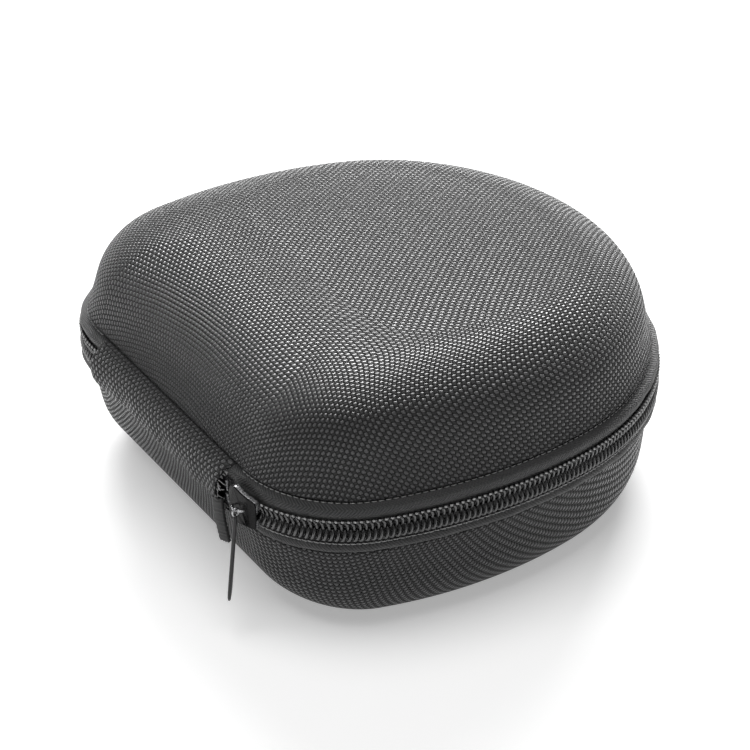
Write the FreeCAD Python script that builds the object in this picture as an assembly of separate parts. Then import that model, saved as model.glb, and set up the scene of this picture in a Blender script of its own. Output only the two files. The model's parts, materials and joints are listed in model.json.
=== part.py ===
"""Moulded clamshell carrying case for over-ear headphones, in millimetres.

+Z is up, +Y is the fabric hinge, -Y is the opening front, and the case is
symmetric left to right apart from the zip's slider and loose end at -X.
The origin is on the floor under the middle of the whole case.
"""
import FreeCAD
import Part
import math
import os

# ---- the closed outline, at the crest of the zip, seen from above ----
WIDTH = 200.0
CORNER_R = 42.8
CORNER_SWEEP = 77.0
SIDE_R = 165.0
SIDE_SWEEP = 29.0
REAR_REACH = 5.14          # how far the hanging pull stands out behind the hinge line

# ---- heights ----
SPLIT_Z = 44.8             # the plane where the two zip halves meet
RIM_GAP = 9.8              # from that plane to the rim of each shell
RIM_INSET = 3.6            # from the zip's crest in to the shells' outer face

# ---- shell profiles: drafted wall, then an elliptical shoulder ----
LID_WALL = 8.7
LID_DRAFT = 14.7
LID_SHOULDER = (32.4, 25.8)
LID_CROWN = 3.0
LID_REAR_STRETCH = 1.59
LID_FRONT_STRETCH = 1.0
TRAY_WALL = 12.8
TRAY_DRAFT = 10.2
TRAY_SHOULDER = 20.3
TRAY_REAR_STRETCH = 1.5
TRAY_FRONT_STRETCH = 0.45
SHOULDER_STEPS = 6

# ---- layers, as depths below the outer face ----
SKIN = (0.0, 0.8)
FOAM = (0.9, 5.0)
LINING = (5.1, 5.8)
BINDING = (5.9, 6.6)
BINDING_HEIGHT = 6.0
NET = (7.3, 7.9)
NET_EDGE = (6.9, 8.4)
NET_EDGE_HEIGHT = 5.0
POCKET_MOUTH_Y = 18.0      # the pocket covers the lid in front of this line
HEM_WIDTH = 8.0

# ---- zip: distances out from the crest, and heights above the split plane ----
COIL = (-2.2, 0.0, 0.7, 4.1)
TAPE_THICK = 0.6
TAPE_PATH = [(-2.5, 0.7), (-2.5, 4.3), (-1.7, 6.6), (-2.9, 8.7), (-3.9, 9.15), (-9.0, 9.15)]
THREAD_AT = (-3.3, 9.42)
THREAD_R = 0.3
CHAIN_END_X = 50.0
STOP_LENGTH = 1.4

# ---- slider, on the left rear corner ----
SLIDER_ANGLE = 8.6         # round the corner from the hinge's straight
SLIDER_HALF_LENGTH = 7.2
NOSE_HALF_HEIGHT = 6.8
TAIL_HALF_HEIGHT = 5.2
FACE = (0.4, 1.6)
FLANGE_FOOT = -1.3
FLANGE_THICK = 0.8
BACK_PLATE = (-5.0, -4.0)
BACK_HALF_HEIGHT = 5.6
POST_HALF = 0.45
CROWN_R = 1.9
CROWN_WIRE = 0.4
EYE_R = 1.3
EYE_WIRE = 0.4
EYE_DROP = 0.42
PULL_LENGTH = 33.4
PULL_TOP = 2.2             # the tab starts this far under the crown's bar
PULL_THICK = 1.4
PULL_HALF_WIDTHS = (1.5, 3.0)
PULL_TWIST = 50.0

# ---- hinge ----
BAND_HALF = 46.0
BAND_THICK = 1.0
BAND_PATH = [(-3.9, 9.3), (-1.0, 8.2), (1.2, 5.2), (2.2, 1.5), (2.3, -2.5), (1.2, -5.3), (-1.2, -7.8), (-3.9, -9.3)]
LINER = (-5.6, -5.0)
LINER_HALF_HEIGHT = 8.6
TAIL_CORNERS = [(-41.5, -5.8), (-46.0, -4.6), (-51.0, -17.5), (-47.0, -19.2)]
TAIL_LAYER = (1.35, 2.35)

# ---- values worked out from those ----
DEG = math.pi / 180.0
HALF = WIDTH / 2.0
FRONT_TURN = 180.0 - CORNER_SWEEP - SIDE_SWEEP
HINGE_HALF = HALF - CORNER_R * math.sin(CORNER_SWEEP * DEG) - SIDE_R * (1.0 - math.sin(CORNER_SWEEP * DEG))
SIDE_END = CORNER_SWEEP + SIDE_SWEEP
SIDE_SHIFT = math.sin(SIDE_END * DEG) - math.sin(CORNER_SWEEP * DEG)
FRONT_R = (HINGE_HALF + CORNER_R * math.sin(CORNER_SWEEP * DEG) + SIDE_R * SIDE_SHIFT) / math.sin(SIDE_END * DEG)
DEPTH = (
    CORNER_R * (1.0 - math.cos(CORNER_SWEEP * DEG))
    + SIDE_R * (math.cos(CORNER_SWEEP * DEG) - math.cos(SIDE_END * DEG))
    + FRONT_R * (1.0 + math.cos(SIDE_END * DEG))
)
HINGE_Y = (DEPTH - REAR_REACH) / 2.0
FRONT_Y = HINGE_Y - DEPTH
LID_RIM_Z = SPLIT_Z + RIM_GAP
TRAY_RIM_Z = SPLIT_Z - RIM_GAP


def vec(x, y, z=0.0):
    return FreeCAD.Vector(x, y, z)


def direction(angle):
    """Outward direction at an angle turned from +Y towards +X, in degrees."""
    return vec(math.sin(angle * DEG), math.cos(angle * DEG))


def outline_arcs():
    """Centre, radius, start and end angle of the right side's arcs, hinge to front."""
    corner = vec(HINGE_HALF, HINGE_Y - CORNER_R)
    side = corner + direction(CORNER_SWEEP) * (CORNER_R - SIDE_R)
    front = side + direction(SIDE_END) * (SIDE_R - FRONT_R)
    return {
        "corner": (corner, CORNER_R, 0.0, CORNER_SWEEP),
        "side": (side, SIDE_R, CORNER_SWEEP, SIDE_END),
        "front": (front, FRONT_R, SIDE_END, 180.0),
    }


ARCS = outline_arcs()


def arc_edge(name, inset, mirrored):
    """One arc of the outline as an edge, moved in by inset."""
    centre, radius, start, end = ARCS[name]
    points = []
    for angle in (start, (start + end) / 2.0, end):
        point = centre + direction(angle) * (radius - inset)
        if mirrored:
            point = vec(-point.x, point.y)
        points.append(point)
    return Part.Arc(points[0], points[1], points[2]).toShape()


def rim_wire():
    """The shells' outline at the rim, as one closed wire at Z = 0."""
    y = HINGE_Y - RIM_INSET
    edges = [Part.LineSegment(vec(-HINGE_HALF, y), vec(HINGE_HALF, y)).toShape()]
    for name in ("corner", "side", "front"):
        edges.append(arc_edge(name, RIM_INSET, False))
    for name in ("front", "side", "corner"):
        edges.append(arc_edge(name, RIM_INSET, True))
    return Part.Wire(Part.__sortEdges__(edges))


RIM = rim_wire()


def section(side, rear, front, z):
    """The rim outline squeezed to the given insets at its sides, rear and front."""
    low = FRONT_Y + RIM_INSET
    high = HINGE_Y - RIM_INSET
    y_scale = (HINGE_Y - rear - FRONT_Y - front) / (high - low)
    matrix = FreeCAD.Matrix()
    matrix.A11 = (HALF - side) / (HALF - RIM_INSET)
    matrix.A22 = y_scale
    matrix.A24 = FRONT_Y + front - low * y_scale
    matrix.A34 = z
    return RIM.transformGeometry(matrix)


def profile(wall, draft, shoulder, depth):
    """Inset and height of each station above the rim, on a surface depth inside the outer face."""
    lean = math.tan(draft * DEG)
    stations = [(depth / math.cos(draft * DEG), 0.0)]
    stations.append((wall * lean + depth * math.cos(draft * DEG), wall - depth * math.sin(draft * DEG)))
    for step in range(1, SHOULDER_STEPS + 1):
        turn = 90.0 * step / SHOULDER_STEPS * DEG
        across = math.cos(turn) / shoulder[0]
        up = math.sin(turn) / shoulder[1]
        size = math.hypot(across, up)
        inset = wall * lean + shoulder[0] * (1.0 - math.cos(turn)) + depth * across / size
        stations.append((inset, wall + shoulder[1] * math.sin(turn) - depth * up / size))
    return stations


def stretched(inset, depth, stretch):
    """An inset from the crest, with its share beyond the layer's depth stretched."""
    return RIM_INSET + depth + max(inset - depth, 0.0) * stretch


def wall_and_shoulder(wires):
    """A straight wall from the first wire to the second, then a smooth shoulder through the rest."""
    wall = Part.makeLoft(wires[:2], True, True)
    return wall.fuse(Part.makeLoft(wires[1:], True, False))


def lid_solid(depth):
    """The lid's space inside a surface depth below its outer face."""
    wires = []
    stations = profile(LID_WALL, LID_DRAFT, LID_SHOULDER, depth)
    for inset, height in stations:
        rear = stretched(inset, depth, LID_REAR_STRETCH)
        front = stretched(inset, depth, LID_FRONT_STRETCH)
        wires.append(section(RIM_INSET + inset, rear, front, LID_RIM_Z + height))
    side = RIM_INSET + stations[-1][0]
    top = LID_RIM_Z + stations[-1][1]
    domes = [wires[-1]]
    for share in (0.35, 0.65, 0.9):
        reach = (HALF - side) * share
        half_depth = (HINGE_Y - rear - FRONT_Y - front) / 2.0 * share
        rise = LID_CROWN * (1.0 - (1.0 - share) ** 2)
        domes.append(section(side + reach, rear + half_depth, front + half_depth, top + rise))
    return wall_and_shoulder(wires).fuse(Part.makeLoft(domes, True, True))


def tray_solid(depth):
    """The tray's space inside a surface depth below its outer face."""
    wires = []
    shoulder = (TRAY_SHOULDER, TRAY_RIM_Z - TRAY_WALL)
    for inset, height in profile(TRAY_WALL, TRAY_DRAFT, shoulder, depth):
        rear = stretched(inset, depth, TRAY_REAR_STRETCH)
        front = stretched(inset, depth, TRAY_FRONT_STRETCH)
        wires.append(section(RIM_INSET + inset, rear, front, TRAY_RIM_Z - height))
    return wall_and_shoulder(wires)


def layer(solid_at, depths):
    """The shell between two depths."""
    return solid_at(depths[0]).cut(solid_at(depths[1]))


def slab(x_low, x_high, y_low, y_high, z_low, z_high):
    return Part.makeBox(x_high - x_low, y_high - y_low, z_high - z_low, vec(x_low, y_low, z_low))


def face_of(points):
    """A flat face from corner points."""
    return Part.Face(Part.makePolygon(points + [points[0]]))


def offset_path(path, thick):
    """A strip's cross-section: the path, and the path again moved in by its thickness."""
    inner = []
    for index, (out, up) in enumerate(path):
        before = path[max(index - 1, 0)]
        after = path[min(index + 1, len(path) - 1)]
        run = (after[0] - before[0], after[1] - before[1])
        length = math.hypot(run[0], run[1])
        inner.append((out - run[1] / length * thick, up + run[0] / length * thick))
    return path + inner[::-1]


def flipped(points):
    """A cross-section turned over below the split plane."""
    return [(out, -up) for out, up in points]


def swept_arc(name, points, mirrored):
    """A cross-section turned about one arc of the outline."""
    centre, radius, start, end = ARCS[name]
    corners = [vec(0.0, radius + out, SPLIT_Z + up) for out, up in points]
    solid = face_of(corners).revolve(vec(0, 0, 0), vec(0, 0, -1), end - start)
    solid.rotate(vec(0, 0, 0), vec(0, 0, -1), start)
    solid.translate(centre)
    if mirrored:
        solid = solid.mirror(vec(0, 0, 0), vec(1, 0, 0))
    return solid


def swept_straight(points, x_low, x_high):
    """A cross-section run along the hinge's straight."""
    corners = [vec(x_low, HINGE_Y + out, SPLIT_Z + up) for out, up in points]
    return face_of(corners).extrude(vec(x_high - x_low, 0, 0))


def joined(solids):
    """Touching solids made one."""
    return solids[0].fuse(solids[1:]).removeSplitter()


def front_run(points):
    """A strip round both sides and the front, between the two rear corners."""
    pieces = [swept_arc("side", points, False), swept_arc("front", points, False)]
    pieces += [swept_arc("front", points, True), swept_arc("side", points, True)]
    return joined(pieces)


def corner_end(points, mirrored):
    """A strip round one rear corner, on to the end of the zip's chain."""
    straight = swept_straight(points, HINGE_HALF, CHAIN_END_X)
    if mirrored:
        straight = straight.mirror(vec(0, 0, 0), vec(1, 0, 0))
    return joined([straight, swept_arc("corner", points, mirrored)])


def full_run(points):
    """A strip round the whole zip."""
    return joined([corner_end(points, False), front_run(points), corner_end(points, True)])


def both_ends(points):
    return Part.Compound([corner_end(points, False), corner_end(points, True)])


def rectangle(out_low, out_high, up_low, up_high):
    return [(out_low, up_low), (out_high, up_low), (out_high, up_high), (out_low, up_high)]


def thread_section():
    """An eight-sided stand-in for the round seam thread."""
    points = []
    for step in range(8):
        turn = (step + 0.5) * 45.0 * DEG
        points.append((THREAD_AT[0] + THREAD_R * math.cos(turn), THREAD_AT[1] + THREAD_R * math.sin(turn)))
    return points


def placed_on_slider(shape):
    """Moves a shape from the slider's own axes: X outward from the corner's centre, Y to the tail."""
    shape.rotate(vec(0, 0, 0), vec(0, 0, 1), 90.0 + SLIDER_ANGLE)
    shape.translate(vec(-HINGE_HALF, HINGE_Y - CORNER_R, SPLIT_Z))
    return shape


def slider_plan(out, nose, tail, spare):
    """The slider's tapering outline at a given distance out."""
    length = SLIDER_HALF_LENGTH + spare
    x = CORNER_R + out
    right = [(-length, nose * 0.72), (-length * 0.72, nose), (-length * 0.2, nose), (length, tail)]
    left = [(y, -z) for y, z in reversed(right)]
    return [vec(x, y, z) for y, z in right + left]


def slider_body():
    """Front plate with side flanges, the post between the zip halves, and the back plate."""
    front = face_of(slider_plan(FLANGE_FOOT, NOSE_HALF_HEIGHT, TAIL_HALF_HEIGHT, 0.0))
    front = front.extrude(vec(FACE[1] - FLANGE_FOOT, 0, 0))
    nose = NOSE_HALF_HEIGHT - FLANGE_THICK
    tail = TAIL_HALF_HEIGHT - FLANGE_THICK
    channel = face_of(slider_plan(FLANGE_FOOT - 1.0, nose, tail, 1.0))
    channel = channel.extrude(vec(FACE[0] - FLANGE_FOOT + 1.0, 0, 0))
    mouth = slab(
        CORNER_R + FLANGE_FOOT - 1.0, CORNER_R + FACE[0],
        -SLIDER_HALF_LENGTH - 1.0, -SLIDER_HALF_LENGTH * 0.6,
        -nose, nose,
    )
    front = front.cut(channel).cut(mouth)
    post = slab(
        CORNER_R + BACK_PLATE[1], CORNER_R + FACE[0],
        -SLIDER_HALF_LENGTH, -1.5,
        -POST_HALF, POST_HALF,
    )
    back = slab(
        CORNER_R + BACK_PLATE[0], CORNER_R + BACK_PLATE[1],
        -SLIDER_HALF_LENGTH, SLIDER_HALF_LENGTH * 0.8,
        -BACK_HALF_HEIGHT, BACK_HALF_HEIGHT,
    )
    back = back.makeFillet(0.8, [edge for edge in back.Edges if is_along_x(edge)])
    return placed_on_slider(joined([front, post, back]))


def is_along_x(edge):
    run = edge.Vertexes[1].Point - edge.Vertexes[0].Point
    return abs(run.x) > 0.5 * edge.Length


def slider_crown():
    """The arched wire on the slider's face that the pull hangs from."""
    ring = Part.makeTorus(CROWN_R, CROWN_WIRE, vec(CORNER_R + FACE[1], 0, 0), vec(0, 0, 1))
    outside = slab(CORNER_R + FACE[1], CORNER_R + FACE[1] + 5.0, -5.0, 5.0, -2.0, 2.0)
    return placed_on_slider(ring.common(outside))


CROWN_BAR = CORNER_R + FACE[1] + CROWN_R


def pull_eye():
    """The small wire ring that hangs on the crown."""
    centre = vec(CROWN_BAR, 0, -EYE_DROP)
    return placed_on_slider(Part.makeTorus(EYE_R, EYE_WIRE, centre, vec(0, 1, 0)))


def pull_tab():
    """The long flat tab, twisted on its ring as it hangs."""
    top = -PULL_TOP
    low = -PULL_LENGTH
    narrow, wide = PULL_HALF_WIDTHS
    outline = [
        vec(-narrow, -PULL_THICK / 2.0, top),
        vec(narrow, -PULL_THICK / 2.0, top),
        vec(wide, -PULL_THICK / 2.0, low + 5.0),
        vec(wide - 1.2, -PULL_THICK / 2.0, low),
        vec(1.2 - wide, -PULL_THICK / 2.0, low),
        vec(-wide, -PULL_THICK / 2.0, low + 5.0),
    ]
    tab = face_of(outline).extrude(vec(0, PULL_THICK, 0))
    tab.rotate(vec(0, 0, 0), vec(0, 0, 1), PULL_TWIST)
    tab.translate(vec(CROWN_BAR, 0, 0))
    return placed_on_slider(tab)


def tray_fabrics():
    """The tray's skin as its flat base and the moulded rest of it."""
    skin = layer(tray_solid, SKIN)
    inset, height = profile(TRAY_WALL, TRAY_DRAFT, (TRAY_SHOULDER, TRAY_RIM_Z - TRAY_WALL), 0.0)[-1]
    rear = stretched(inset, 0.0, TRAY_REAR_STRETCH)
    front = stretched(inset, 0.0, TRAY_FRONT_STRETCH)
    low = Part.Face(section(RIM_INSET + inset + 1.0, rear + 1.0, front + 1.0, -1.0))
    column = low.extrude(vec(0, 0, 4.0))
    return skin.common(column), skin.cut(column)


def rear_stop(x_low, x_high, up_low, up_high):
    """A small metal stop at an end of the chain."""
    return slab(x_low, x_high, HINGE_Y + COIL[0], HINGE_Y + COIL[1], SPLIT_Z + up_low, SPLIT_Z + up_high)


def chain_tail():
    """The zip's loose end, hanging out under the hinge band."""
    y = HINGE_Y + TAIL_LAYER[0]
    corners = [vec(x, y, SPLIT_Z + up) for x, up in TAIL_CORNERS]
    return face_of(corners).extrude(vec(0, TAIL_LAYER[1] - TAIL_LAYER[0], 0))


def lid_parts():
    coil = rectangle(*COIL)
    tape = offset_path(TAPE_PATH, TAPE_THICK)
    everywhere = (-HALF, HALF)
    pocket_edge = LID_RIM_Z + NET_EDGE_HEIGHT
    net = layer(lid_solid, NET)
    edging = layer(lid_solid, NET_EDGE)
    binding = layer(lid_solid, BINDING)
    return {
        "lid_outer_fabric": layer(lid_solid, SKIN),
        "lid_foam_core": layer(lid_solid, FOAM),
        "lid_lining": layer(lid_solid, LINING),
        "lid_rim_binding": binding.common(
            slab(*everywhere, FRONT_Y, HINGE_Y, LID_RIM_Z, LID_RIM_Z + BINDING_HEIGHT)),
        "mesh_pocket_net": net.common(slab(*everywhere, FRONT_Y, POCKET_MOUTH_Y, pocket_edge, 100.0)),
        "pocket_hem_elastic": edging.common(
            slab(*everywhere, POCKET_MOUTH_Y, POCKET_MOUTH_Y + HEM_WIDTH, pocket_edge, 100.0)),
        "pocket_edge_binding": edging.common(
            slab(*everywhere, FRONT_Y, POCKET_MOUTH_Y + HEM_WIDTH, LID_RIM_Z, pocket_edge)),
        "lid_zip_tape": front_run(tape),
        "lid_zip_tape_ends": both_ends(tape),
        "lid_zip_coil": front_run(coil),
        "lid_zip_coil_ends": both_ends(coil),
        "lid_top_stop": rear_stop(-CHAIN_END_X, STOP_LENGTH - CHAIN_END_X, COIL[2], COIL[3]),
        "lid_seam_thread": full_run(thread_section()),
    }


def tray_parts():
    coil = flipped(rectangle(*COIL))
    tape = flipped(offset_path(TAPE_PATH, TAPE_THICK))
    base, sides = tray_fabrics()
    binding = layer(tray_solid, BINDING)
    return {
        "tray_base_fabric": base,
        "tray_side_fabric": sides,
        "tray_foam_core": layer(tray_solid, FOAM),
        "tray_lining": layer(tray_solid, LINING),
        "tray_rim_binding": binding.common(
            slab(-HALF, HALF, FRONT_Y, HINGE_Y, TRAY_RIM_Z - BINDING_HEIGHT, TRAY_RIM_Z)),
        "tray_zip_tape": full_run(tape),
        "tray_zip_coil": full_run(coil),
        "tray_top_stop": rear_stop(-CHAIN_END_X, STOP_LENGTH - CHAIN_END_X, -COIL[3], -COIL[2]),
        "zip_bottom_stop": rear_stop(CHAIN_END_X - STOP_LENGTH, CHAIN_END_X, -COIL[3], COIL[3]),
        "tray_seam_thread": full_run(flipped(thread_section())),
        "zip_chain_tail": chain_tail(),
        "hinge_band": swept_straight(offset_path(BAND_PATH, -BAND_THICK), -BAND_HALF, BAND_HALF),
        "hinge_liner": swept_straight(
            rectangle(LINER[0], LINER[1], -LINER_HALF_HEIGHT, LINER_HALF_HEIGHT), -BAND_HALF, BAND_HALF),
    }


def zip_parts():
    return {
        "slider_body": slider_body(),
        "slider_crown": slider_crown(),
        "pull_eye": pull_eye(),
        "pull_tab": pull_tab(),
    }


def main():
    os.makedirs("parts", exist_ok=True)
    for group in (lid_parts(), tray_parts(), zip_parts()):
        for node, shape in group.items():
            shape.exportStep(os.path.join("parts", node + ".step"))


main()
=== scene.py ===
"""Moulded headphone case: woven shells, coil zip, cloth hinge, lining and slider, round the CAD frame.

Lengths in this script are millimetres until a mesh is made, when MM turns them into metres.
"Out" is the distance outward from the zip's crest, and "up" the height above the split plane.
"""
import json
import math
import bmesh
import bpy
import numpy as np
from mathutils import Matrix, Vector
from mathutils.bvhtree import BVHTree
from mathutils.geometry import barycentric_transform


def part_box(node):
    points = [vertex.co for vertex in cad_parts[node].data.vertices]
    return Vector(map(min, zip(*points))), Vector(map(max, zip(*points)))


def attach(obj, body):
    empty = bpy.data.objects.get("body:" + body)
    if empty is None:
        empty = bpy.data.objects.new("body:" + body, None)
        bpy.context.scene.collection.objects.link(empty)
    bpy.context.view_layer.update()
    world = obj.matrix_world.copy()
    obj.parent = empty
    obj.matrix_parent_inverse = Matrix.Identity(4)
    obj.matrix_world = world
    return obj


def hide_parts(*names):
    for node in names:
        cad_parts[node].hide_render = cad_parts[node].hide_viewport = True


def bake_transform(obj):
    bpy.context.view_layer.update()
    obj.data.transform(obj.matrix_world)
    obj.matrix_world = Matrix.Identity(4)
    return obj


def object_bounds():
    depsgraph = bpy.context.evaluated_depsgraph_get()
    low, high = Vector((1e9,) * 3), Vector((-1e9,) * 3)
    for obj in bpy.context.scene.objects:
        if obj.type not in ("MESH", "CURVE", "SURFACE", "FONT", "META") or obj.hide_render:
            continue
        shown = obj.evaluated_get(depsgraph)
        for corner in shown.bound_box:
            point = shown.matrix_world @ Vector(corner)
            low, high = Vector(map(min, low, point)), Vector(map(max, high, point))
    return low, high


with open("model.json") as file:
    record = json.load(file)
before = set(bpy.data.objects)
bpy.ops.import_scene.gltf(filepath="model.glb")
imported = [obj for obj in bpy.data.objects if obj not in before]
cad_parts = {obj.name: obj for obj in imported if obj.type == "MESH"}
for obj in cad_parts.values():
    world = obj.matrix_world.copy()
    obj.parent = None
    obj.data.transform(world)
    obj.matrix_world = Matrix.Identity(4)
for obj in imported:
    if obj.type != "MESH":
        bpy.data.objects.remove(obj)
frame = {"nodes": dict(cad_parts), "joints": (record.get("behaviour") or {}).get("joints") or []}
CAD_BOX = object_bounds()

MM = 0.001
DEG = math.pi / 180.0

# ---- the frame's own sizes ----
JOINTS = {joint["name"]: joint for joint in frame["joints"]}
HALF_WIDTH = CAD_BOX[1][0] / MM
HINGE_Y = JOINTS["lid_hinge"]["pos_m"][1] / MM
SPLIT_Z = JOINTS["lid_hinge"]["pos_m"][2] / MM
CORNER_X = -JOINTS["slider_travel"]["pos_m"][0] / MM
CORNER_R = HINGE_Y - JOINTS["slider_travel"]["pos_m"][1] / MM
LID_RIM_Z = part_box("lid_outer_fabric")[0][2] / MM
TRAY_RIM_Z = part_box("tray_side_fabric")[1][2] / MM
FRONT_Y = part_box("tray_zip_coil")[0][1] / MM
BAND_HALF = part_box("hinge_band")[1][0] / MM
CHAIN_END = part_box("zip_bottom_stop")[1][0] / MM
RIM_INSET = HALF_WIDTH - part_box("lid_outer_fabric")[1][0] / MM
POCKET_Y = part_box("pocket_hem_elastic")[0][1] / MM
HEM_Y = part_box("pocket_hem_elastic")[1][1] / MM
PIVOT = np.array(JOINTS["pull_swing"]["pos_m"]) / MM
SLIDER_ANGLE = math.atan2(JOINTS["pull_swing"]["axis"][1], JOINTS["pull_swing"]["axis"][0])
SLIDER_TURN = SLIDER_ANGLE / DEG
SLIDER_S = CORNER_X + CORNER_R * SLIDER_ANGLE

# ---- the outline's arcs, which the frame doesn't name ----
CORNER_SWEEP = 77.0
SIDE_SWEEP = 29.0
SIDE_R = 165.0
SIDE_END = CORNER_SWEEP + SIDE_SWEEP

# ---- shell profiles ----
LID_WALL = 8.7
LID_LEAN = math.tan(14.7 * DEG)
LID_SHOULDER = (32.4, 25.8)
LID_CROWN = 3.0
LID_STRETCH = (1.59, 1.0)
TRAY_WALL = 12.8
TRAY_LEAN = math.tan(10.2 * DEG)
TRAY_SHOULDER = (20.3, 22.2)
TRAY_STRETCH = (1.5, 0.45)


# ---- weave: yarn pitch each way, and how far the cloth is let out down the front and rear walls ----
WEAVE_PITCH = (1.235, 1.61)
LET_OUT = {"lid": (1.05, 1.08), "tray": (0.6, 1.15)}

# ---- layers, as depths below the outer face ----
SKIN = (0.0, 0.8)
FOAM = (0.9, 5.0)
LINING = (5.1, 5.8)
BINDING = (5.9, 6.6)
NET_DEPTH = 7.6
NET_EDGE = (6.9, 8.3)
BINDING_HEIGHT = 6.0
WELD_GAP = 0.02

# ---- zip ----
COIL_PITCH = 2.08
WIRE_R = 0.52
COIL_UP = (-0.5, 4.0)
COIL_OUT = (-1.9, -0.55)
COIL_LEAN = 0.3
TAPE_THICK = 0.5
STITCH_MARGIN = 1.0
SEAM_STITCH = {"pitch": 2.6, "length": 1.9, "out": -3.9, "up": 9.15, "radius": 0.15}

# ---- hinge strip ----
BAND_THICK = 0.75
LINER_THICK = 0.6

# ---- loose end of the zip ----
TAIL_LENGTH = 15.0
TAIL_WIDTH = 7.4
TAIL_THICK = 0.8

# ---- slider and pull ----
FACE_OUT = (1.0, 1.55)
BACK_OUT = (-4.9, -4.0)
POST_OUT = (-4.1, 1.05)
FLANGE_OUT = (-0.65, 1.05)
BRIDGE_R = 0.36
EYE_R = 0.33
PULL_LEAN = math.tan(6.0 * DEG)
PULL_TWIST = 42.0 * DEG
PULL_SIDES = 28

# ---- pocket: diamond cell and thread, in millimetres ----
NET_CELL = 3.6
NET_THREAD = 0.52

# ---- camera and studio, in metres ----
CAMERA_AZIMUTH = 239.73 * DEG
CAMERA_ELEVATION = 30.22 * DEG
CAMERA_DISTANCE = 1.0927
CAMERA_LENS = 148.49
CAMERA_TARGET = (0.0, 0.005584, 0.040)
CAMERA_RIGHT = 0.00009
CAMERA_DOWN = 0.00046
FLOOR_GLOW = 0.36
WORLD_GLOW = 0.13


def unit(array):
    return array / np.linalg.norm(array, axis=-1, keepdims=True)


def smoothstep(low, high, value):
    share = np.clip((np.asarray(value, float) - low) / (high - low), 0.0, 1.0)
    return share * share * (3.0 - 2.0 * share)


# ---------------------------------------------------------------- outline
def heading(angle):
    """Outward direction at an angle in degrees turned from +Y towards +X."""
    turn = np.asarray(angle, float) * DEG
    return np.stack([np.sin(turn), np.cos(turn)], axis=-1)


CORNER_C = np.array([CORNER_X, HINGE_Y - CORNER_R])
SIDE_C = CORNER_C + heading(CORNER_SWEEP) * (CORNER_R - SIDE_R)
FRONT_R = SIDE_R - (0.0 - SIDE_C[0]) / heading(SIDE_END)[0]
FRONT_C = SIDE_C + heading(SIDE_END) * (SIDE_R - FRONT_R)
S_CORNER = CORNER_X
S_SIDE = S_CORNER + CORNER_R * CORNER_SWEEP * DEG
S_FRONT = S_SIDE + SIDE_R * SIDE_SWEEP * DEG
S_HALF = S_FRONT + FRONT_R * (180.0 - SIDE_END) * DEG
S_ALL = 2.0 * S_HALF


def outline(s):
    """Points on the zip's crest and their outward directions, s round from the hinge's middle, +X first."""
    s = np.mod(np.asarray(s, float), S_ALL)
    mirrored = s > S_HALF
    run = np.where(mirrored, S_ALL - s, s)
    on_corner = (run - S_CORNER) / CORNER_R / DEG
    on_side = CORNER_SWEEP + (run - S_SIDE) / SIDE_R / DEG
    angle = np.where(run < S_SIDE, on_corner, on_side)
    angle = np.where(run < S_FRONT, angle, SIDE_END + (run - S_FRONT) / FRONT_R / DEG)
    angle = np.where(run < S_CORNER, 0.0, angle)
    normal = heading(angle)
    point = np.where((run < S_SIDE)[..., None], CORNER_C + normal * CORNER_R, SIDE_C + normal * SIDE_R)
    point = np.where((run < S_FRONT)[..., None], point, FRONT_C + normal * FRONT_R)
    straight = np.stack([run, np.full_like(run, HINGE_Y)], axis=-1)
    point = np.where((run < S_CORNER)[..., None], straight, point)
    flip = np.where(mirrored, -1.0, 1.0)
    point = np.stack([point[..., 0] * flip, point[..., 1]], axis=-1)
    normal = np.stack([normal[..., 0] * flip, normal[..., 1]], axis=-1)
    return point, normal


def at(s, out, up):
    """3D points beside the zip, from distance round, distance out and height above the split plane."""
    point, normal = outline(s)
    out = np.broadcast_to(np.asarray(out, float), point.shape[:-1])
    up = np.broadcast_to(np.asarray(up, float), point.shape[:-1])
    flat = point + normal * out[..., None]
    return np.concatenate([flat, (SPLIT_Z + up)[..., None]], axis=-1)


def ring_samples():
    """Distances round the outline, closer together on the two rear corners."""
    spans = [(0.0, S_CORNER, 14), (S_CORNER, S_SIDE, 36), (S_SIDE, S_FRONT, 20), (S_FRONT, S_HALF, 50)]
    half = np.concatenate([np.linspace(a, b, n, endpoint=False) for a, b, n in spans])
    return np.concatenate([half, [S_HALF], S_ALL - half[:0:-1]])


RING = ring_samples()
RING_P, RING_N = outline(RING)


# ---------------------------------------------------------------- mesh helpers
def make_object(name, points, faces, uv=None, smooth=True):
    """A mesh object from points in millimetres."""
    mesh = bpy.data.meshes.new(name)
    mesh.from_pydata((np.asarray(points, float) * MM).tolist(), [], faces)
    mesh.validate()
    if uv is not None:
        layer = mesh.uv_layers.new(name="UVMap")
        loops = np.zeros(len(mesh.loops), int)
        mesh.loops.foreach_get("vertex_index", loops)
        layer.data.foreach_set("uv", (np.asarray(uv, float)[loops] * MM).ravel())
    mesh.polygons.foreach_set("use_smooth", [smooth] * len(mesh.polygons))
    mesh.update()
    obj = bpy.data.objects.new(name, mesh)
    bpy.context.scene.collection.objects.link(obj)
    return obj


def grid_faces(rows, columns, closed_rows=False, closed_columns=False, start=0):
    """Quads over a grid of points stored row by row."""
    faces = []
    row_end = rows if closed_rows else rows - 1
    column_end = columns if closed_columns else columns - 1
    for i in range(row_end):
        for j in range(column_end):
            a = start + i * columns + j
            b = start + i * columns + (j + 1) % columns
            c = start + ((i + 1) % rows) * columns + (j + 1) % columns
            d = start + ((i + 1) % rows) * columns + j
            faces.append((a, b, c, d))
    return faces


def face_outward(obj, change=None):
    """Turns every face outward, after a change to the mesh if one is given."""
    work = bmesh.new()
    work.from_mesh(obj.data)
    if change:
        change(work)
    bmesh.ops.recalc_face_normals(work, faces=work.faces)
    work.to_mesh(obj.data)
    work.free()
    return obj


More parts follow.
